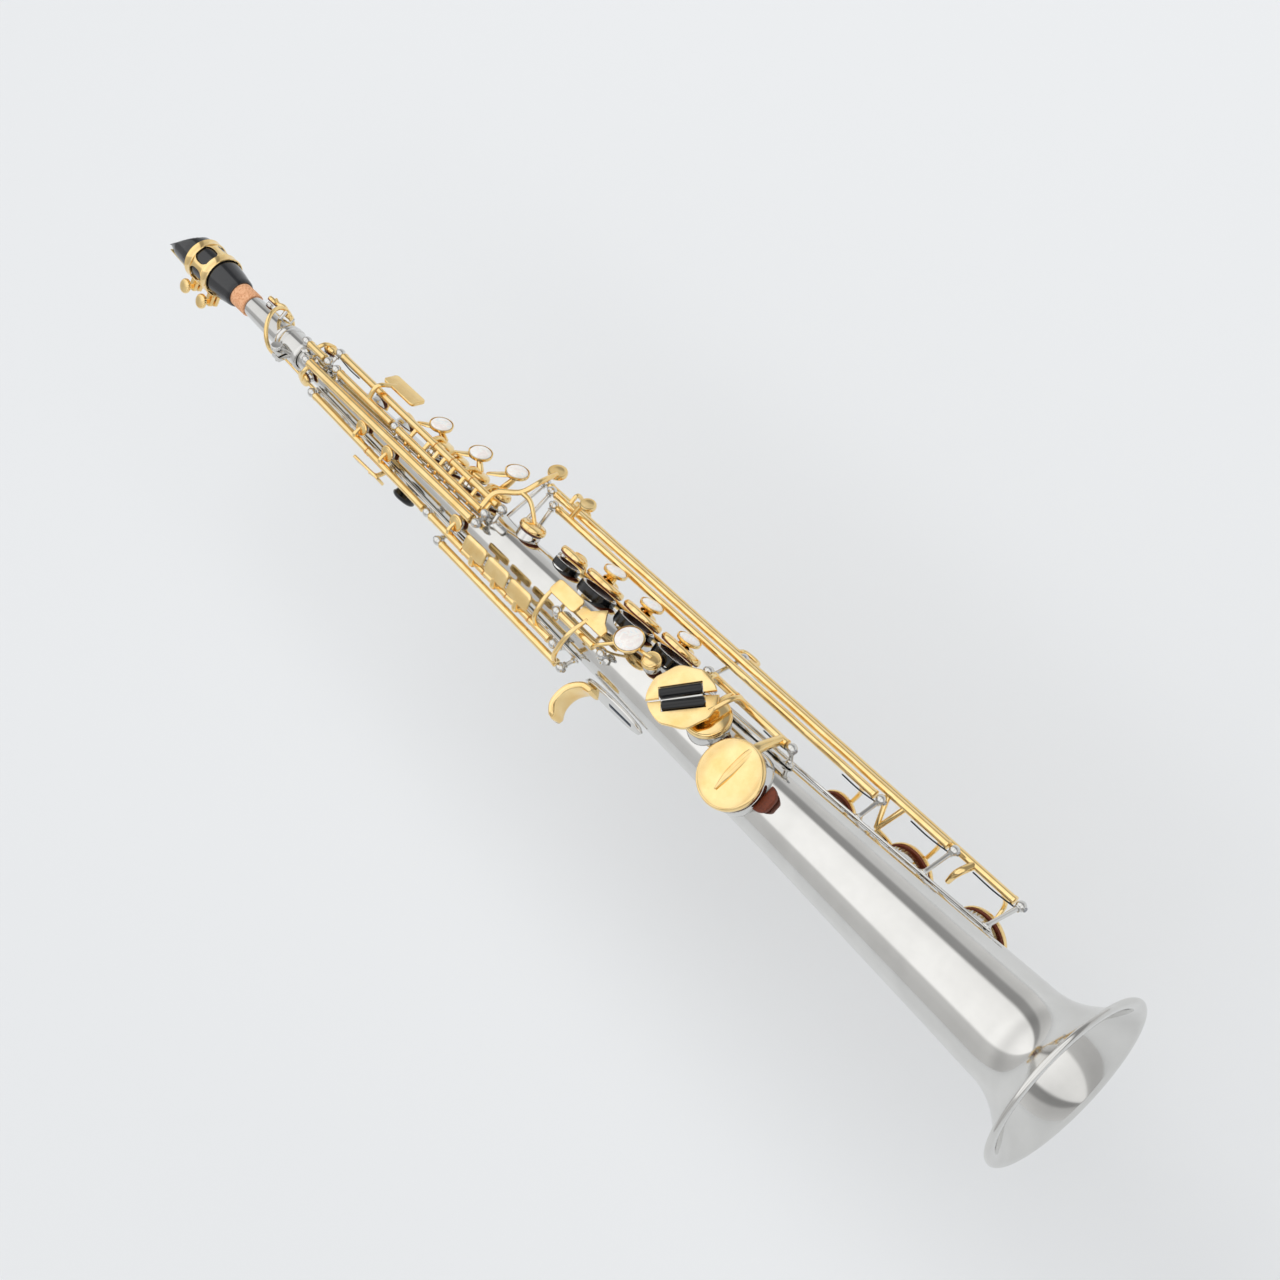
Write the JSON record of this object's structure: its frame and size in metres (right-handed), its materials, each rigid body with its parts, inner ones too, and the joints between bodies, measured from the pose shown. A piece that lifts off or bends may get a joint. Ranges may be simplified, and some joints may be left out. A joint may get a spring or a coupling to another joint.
{
  "type": "soprano saxophone",
  "caption": "Straight conical woodwind with a flared bell, hinged key mechanism, pearl finger touches, cork-fitted mouthpiece with reed and ligature, thumb hook.",
  "frame": {"origin": "centre of the bell rim, on the plane that the rim rests on", "axes": "+Z along the bore from the bell to the mouthpiece; -Y is the front with the finger keys, +Y the thumb side, -X the right hand side of the player and +X the left hand side"},
  "size_m": [0.093, 0.093, 0.6875],
  "materials": {
    "silver_plate": "polished silver plate on brass",
    "gold_lacquer": "polished gold lacquered brass",
    "hard_rubber": "polished black hard rubber",
    "black_plastic": "glossy",
    "pearl": "nacre, polished",
    "cork": "natural cork",
    "cane": "dry cane"
  },
  "bodies": {
    "body": {"body_tube": "silver_plate", "bell": "silver_plate", "upper_rib": "silver_plate", "thumb_rib": "silver_plate", "side_rib": "silver_plate", "lower_rib": "silver_plate", "bell_rib": "silver_plate", "left_rib": "silver_plate", "palm_rib": "silver_plate", "neck_receiver": "silver_plate", "thumb_rest": "black_plastic", "thumb_hook_plate": "silver_plate", "thumb_hook": "gold_lacquer"},
    "key_b": {"key_b": "gold_lacquer", "pearl_b": "pearl"},
    "key_bis": {"key_bis": "gold_lacquer"},
    "key_a": {"key_a": "gold_lacquer", "pearl_a": "pearl"},
    "key_g": {"key_g": "gold_lacquer", "pearl_g": "pearl"},
    "key_f_sharp": {"key_f_sharp": "gold_lacquer"},
    "key_f": {"key_f": "gold_lacquer", "pearl_f": "pearl"},
    "key_e": {"key_e": "gold_lacquer", "pearl_e": "pearl"},
    "key_d": {"key_d": "gold_lacquer", "pearl_d": "pearl"},
    "key_g_sharp": {"key_g_sharp": "gold_lacquer"},
    "key_high_e": {"key_high_e": "gold_lacquer"},
    "key_high_fs": {"key_high_fs": "gold_lacquer"},
    "key_side_c": {"key_side_c": "gold_lacquer"},
    "key_side_bb": {"key_side_bb": "gold_lacquer"},
    "touch_high_e": {"touch_high_e": "gold_lacquer"},
    "touch_side_c": {"touch_side_c": "gold_lacquer"},
    "touch_side_bb": {"touch_side_bb": "gold_lacquer"},
    "key_side_fs": {"key_side_fs": "gold_lacquer"},
    "lever_high_fs": {"lever_high_fs": "gold_lacquer"},
    "key_trill": {"key_trill": "gold_lacquer", "pearl_trill": "pearl"},
    "lever_front_f": {"lever_front_f": "gold_lacquer"},
    "key_high_f": {"key_high_f": "gold_lacquer"},
    "key_palm_eb": {"key_palm_eb": "gold_lacquer"},
    "key_palm_d": {"key_palm_d": "gold_lacquer"},
    "key_low_eb": {"key_low_eb": "gold_lacquer"},
    "key_low_c": {"key_low_c": "gold_lacquer"},
    "key_c_sharp": {"key_c_sharp": "gold_lacquer"},
    "key_low_b": {"key_low_b": "gold_lacquer"},
    "key_low_bb": {"key_low_bb": "gold_lacquer"},
    "lever_octave": {"lever_octave": "gold_lacquer"},
    "neck_octave_key": {"neck_octave_key": "gold_lacquer"},
    "roller_eb": {"roller_eb": "black_plastic"},
    "roller_c": {"roller_c": "black_plastic"},
    "neck": {"neck": "silver_plate", "neck_cork": "cork"},
    "mouthpiece": {"mouthpiece": "hard_rubber", "reed": "cane", "ligature": "gold_lacquer"},
    "neck_clamp_screw": {"neck_clamp_screw": "silver_plate"},
    "ligature_screw_1": {"ligature_screw_1": "gold_lacquer"},
    "ligature_screw_2": {"ligature_screw_2": "gold_lacquer"}
  },
  "joints": [
    {"name": "key_b_hinge", "type": "hinge", "parent": "body", "child": "key_b", "pos_m": [-0.01598, -0.01249, 0.39], "axis": [0.0443, -0.0099, 0.999], "range_deg": [0, 5.5], "stiffness_Nm_per_rad": 0.1},
    {"name": "key_bis_hinge", "type": "hinge", "parent": "body", "child": "key_bis", "pos_m": [-0.01598, -0.01249, 0.39], "axis": [0.0443, -0.0099, 0.999], "range_deg": [0, 5.5], "stiffness_Nm_per_rad": 0.1},
    {"name": "key_a_hinge", "type": "hinge", "parent": "body", "child": "key_a", "pos_m": [-0.01598, -0.01249, 0.39], "axis": [0.0443, -0.0099, 0.999], "range_deg": [0, 5.5], "stiffness_Nm_per_rad": 0.1},
    {"name": "key_g_hinge", "type": "hinge", "parent": "body", "child": "key_g", "pos_m": [-0.01598, -0.01249, 0.39], "axis": [0.0443, -0.0099, 0.999], "range_deg": [0, 5.5], "stiffness_Nm_per_rad": 0.1},
    {"name": "key_f_sharp_hinge", "type": "hinge", "parent": "body", "child": "key_f_sharp", "pos_m": [0.01578, -0.01881, 0.254], "axis": [-0.0202, 0.0241, 0.9995], "range_deg": [-5.5, 0], "stiffness_Nm_per_rad": 0.1},
    {"name": "key_f_hinge", "type": "hinge", "parent": "body", "child": "key_f", "pos_m": [0.01578, -0.01881, 0.254], "axis": [-0.0202, 0.0241, 0.9995], "range_deg": [-5.5, 0], "stiffness_Nm_per_rad": 0.1},
    {"name": "key_e_hinge", "type": "hinge", "parent": "body", "child": "key_e", "pos_m": [0.01578, -0.01881, 0.254], "axis": [-0.0202, 0.0241, 0.9995], "range_deg": [-5.5, 0], "stiffness_Nm_per_rad": 0.1},
    {"name": "key_d_hinge", "type": "hinge", "parent": "body", "child": "key_d", "pos_m": [0.01578, -0.01881, 0.254], "axis": [-0.0202, 0.0241, 0.9995], "range_deg": [-5.5, 0], "stiffness_Nm_per_rad": 0.1},
    {"name": "key_g_sharp_hinge", "type": "hinge", "parent": "body", "child": "key_g_sharp", "pos_m": [-0.01714, -0.00524, 0.395], "axis": [0.0355, -0.0079, 0.9993], "range_deg": [-6, 0], "stiffness_Nm_per_rad": 0.1},
    {"name": "key_high_e_hinge", "type": "hinge", "parent": "body", "child": "key_high_e", "pos_m": [-0.01748, 0.00122, 0.395], "axis": [0.03, -0.0021, 0.9995], "range_deg": [0, 6], "stiffness_Nm_per_rad": 0.1},
    {"name": "key_high_fs_hinge", "type": "hinge", "parent": "body", "child": "key_high_fs", "pos_m": [-0.01036, 0.01724, 0.319], "axis": [0.0162, -0.0269, 0.9995], "range_deg": [-6, 0], "stiffness_Nm_per_rad": 0.1},
    {"name": "key_side_c_hinge", "type": "hinge", "parent": "body", "child": "key_side_c", "pos_m": [-0.01036, 0.01724, 0.319], "axis": [0.0162, -0.0269, 0.9995], "range_deg": [-6, 0], "stiffness_Nm_per_rad": 0.1},
    {"name": "key_side_bb_hinge", "type": "hinge", "parent": "body", "child": "key_side_bb", "pos_m": [-0.01036, 0.01724, 0.319], "axis": [0.0162, -0.0269, 0.9995], "range_deg": [-6, 0], "stiffness_Nm_per_rad": 0.1},
    {"name": "touch_high_e_hinge", "type": "hinge", "parent": "body", "child": "touch_high_e", "pos_m": [-0.01036, 0.01724, 0.319], "axis": [0.0162, -0.0269, 0.9995], "range_deg": [0, 6], "stiffness_Nm_per_rad": 0.1},
    {"name": "touch_side_c_hinge", "type": "hinge", "parent": "body", "child": "touch_side_c", "pos_m": [-0.01036, 0.01724, 0.319], "axis": [0.0162, -0.0269, 0.9995], "range_deg": [0, 6], "stiffness_Nm_per_rad": 0.1},
    {"name": "touch_side_bb_hinge", "type": "hinge", "parent": "body", "child": "touch_side_bb", "pos_m": [-0.01036, 0.01724, 0.319], "axis": [0.0162, -0.0269, 0.9995], "range_deg": [0, 6], "stiffness_Nm_per_rad": 0.1},
    {"name": "key_side_fs_hinge", "type": "hinge", "parent": "body", "child": "key_side_fs", "pos_m": [-0.01036, 0.01724, 0.319], "axis": [0.0162, -0.0269, 0.9995], "range_deg": [0, 6], "stiffness_Nm_per_rad": 0.1},
    {"name": "lever_high_fs_hinge", "type": "hinge", "parent": "body", "child": "lever_high_fs", "pos_m": [-0.00708, 0.02317, 0.309], "axis": [0.0069, -0.0226, 0.9997], "range_deg": [0, 3.5], "stiffness_Nm_per_rad": 0.1},
    {"name": "key_trill_hinge", "type": "hinge", "parent": "body", "child": "key_trill", "pos_m": [-0.01961, 0.00489, 0.2905], "axis": [0.0305, -0.0076, 0.9995], "range_deg": [-6, 0], "stiffness_Nm_per_rad": 0.1},
    {"name": "lever_front_f_hinge", "type": "hinge", "parent": "body", "child": "lever_front_f", "pos_m": [-0.01714, -0.00524, 0.395], "axis": [0.0355, -0.0079, 0.9993], "range_deg": [-6, 0], "stiffness_Nm_per_rad": 0.1},
    {"name": "key_high_f_hinge", "type": "hinge", "parent": "body", "child": "key_high_f", "pos_m": [-0.01714, -0.00524, 0.395], "axis": [0.0355, -0.0079, 0.9993], "range_deg": [-6, 0], "stiffness_Nm_per_rad": 0.1},
    {"name": "key_palm_eb_hinge", "type": "hinge", "parent": "body", "child": "key_palm_eb", "pos_m": [0.01447, -0.00675, 0.47], "axis": [-0.0285, 0.0133, 0.9995], "range_deg": [0, 7], "stiffness_Nm_per_rad": 0.1},
    {"name": "key_palm_d_hinge", "type": "hinge", "parent": "body", "child": "key_palm_d", "pos_m": [0.01447, -0.00675, 0.47], "axis": [-0.0285, 0.0133, 0.9995], "range_deg": [0, 7], "stiffness_Nm_per_rad": 0.1},
    {"name": "key_low_eb_hinge", "type": "hinge", "parent": "body", "child": "key_low_eb", "pos_m": [-0.01708, -0.02351, 0.187], "axis": [0.093, -0.0003, 0.9957], "range_deg": [0, 5], "stiffness_Nm_per_rad": 0.1},
    {"name": "key_low_c_hinge", "type": "hinge", "parent": "body", "child": "key_low_c", "pos_m": [-0.01708, -0.02351, 0.187], "axis": [0.093, -0.0003, 0.9957], "range_deg": [-3.5, 0], "stiffness_Nm_per_rad": 0.1},
    {"name": "key_c_sharp_hinge", "type": "hinge", "parent": "body", "child": "key_c_sharp", "pos_m": [0.00665, -0.03422, 0.149], "axis": [-0.0021, 0.0108, 0.9999], "range_deg": [-5, 0], "stiffness_Nm_per_rad": 0.1},
    {"name": "key_low_b_hinge", "type": "hinge", "parent": "body", "child": "key_low_b", "pos_m": [0.01028, -0.03975, 0.109], "axis": [-0.0031, 0.0118, 0.9999], "range_deg": [0, 4.5], "stiffness_Nm_per_rad": 0.1},
    {"name": "key_low_bb_hinge", "type": "hinge", "parent": "body", "child": "key_low_bb", "pos_m": [0.01682, -0.04164, 0.072], "axis": [-0.0048, 0.0119, 0.9999], "range_deg": [0, 4.5], "stiffness_Nm_per_rad": 0.1},
    {"name": "lever_octave_hinge", "type": "hinge", "parent": "body", "child": "lever_octave", "pos_m": [0.01312, 0.00919, 0.462], "axis": [-0.0257, -0.018, 0.9995], "range_deg": [0, 5], "stiffness_Nm_per_rad": 0.1},
    {"name": "neck_octave_key_hinge", "type": "hinge", "parent": "neck", "child": "neck_octave_key", "pos_m": [0, -0.0094, 0.59035], "axis": [1, 0, 0], "range_deg": [0, 5], "stiffness_Nm_per_rad": 0.1},
    {"name": "roller_eb_spin", "type": "hinge", "parent": "key_low_eb", "child": "roller_eb", "pos_m": [-0.03098, -0.00834, 0.24032], "axis": [0.1504, -0.7735, -0.6157], "continuous": true},
    {"name": "roller_c_spin", "type": "hinge", "parent": "key_low_c", "child": "roller_c", "pos_m": [-0.03133, -0.00476, 0.23461], "axis": [-0.2036, 0.7572, 0.6206], "continuous": true},
    {"name": "neck_swivel", "type": "hinge", "parent": "body", "child": "neck", "pos_m": [0, 0, 0.574], "axis": [0, 0, 1], "range_deg": [-20, 20]},
    {"name": "mouthpiece_slide", "type": "slide", "parent": "neck", "child": "mouthpiece", "axis": [0, 0, 1], "range_m": [0, 0.01]},
    {"name": "neck_clamp_screw_turn", "type": "hinge", "parent": "body", "child": "neck_clamp_screw", "pos_m": [-0.00596, 0.00955, 0.573], "axis": [-0.848, -0.5299, 0], "continuous": true},
    {"name": "ligature_screw_1_turn", "type": "hinge", "parent": "mouthpiece", "child": "ligature_screw_1", "pos_m": [0.0083, 0.01438, 0.6466], "axis": [0.866, -0.5, 0], "continuous": true},
    {"name": "ligature_screw_2_turn", "type": "hinge", "parent": "mouthpiece", "child": "ligature_screw_2", "pos_m": [0.0083, 0.01438, 0.6631], "axis": [0.866, -0.5, 0], "continuous": true}
  ],
  "couplings": [
    {"joint": "key_high_e_hinge", "follows": "touch_high_e_hinge", "ratio": 1},
    {"joint": "key_side_c_hinge", "follows": "touch_side_c_hinge", "ratio": -1},
    {"joint": "key_side_bb_hinge", "follows": "touch_side_bb_hinge", "ratio": -1},
    {"joint": "key_high_fs_hinge", "follows": "lever_high_fs_hinge", "ratio": -1},
    {"joint": "key_high_f_hinge", "follows": "lever_front_f_hinge", "ratio": 1},
    {"joint": "neck_octave_key_hinge", "follows": "lever_octave_hinge", "ratio": 1},
    {"joint": "key_f_sharp_hinge", "follows": "key_f_hinge", "ratio": 1}
  ]
}
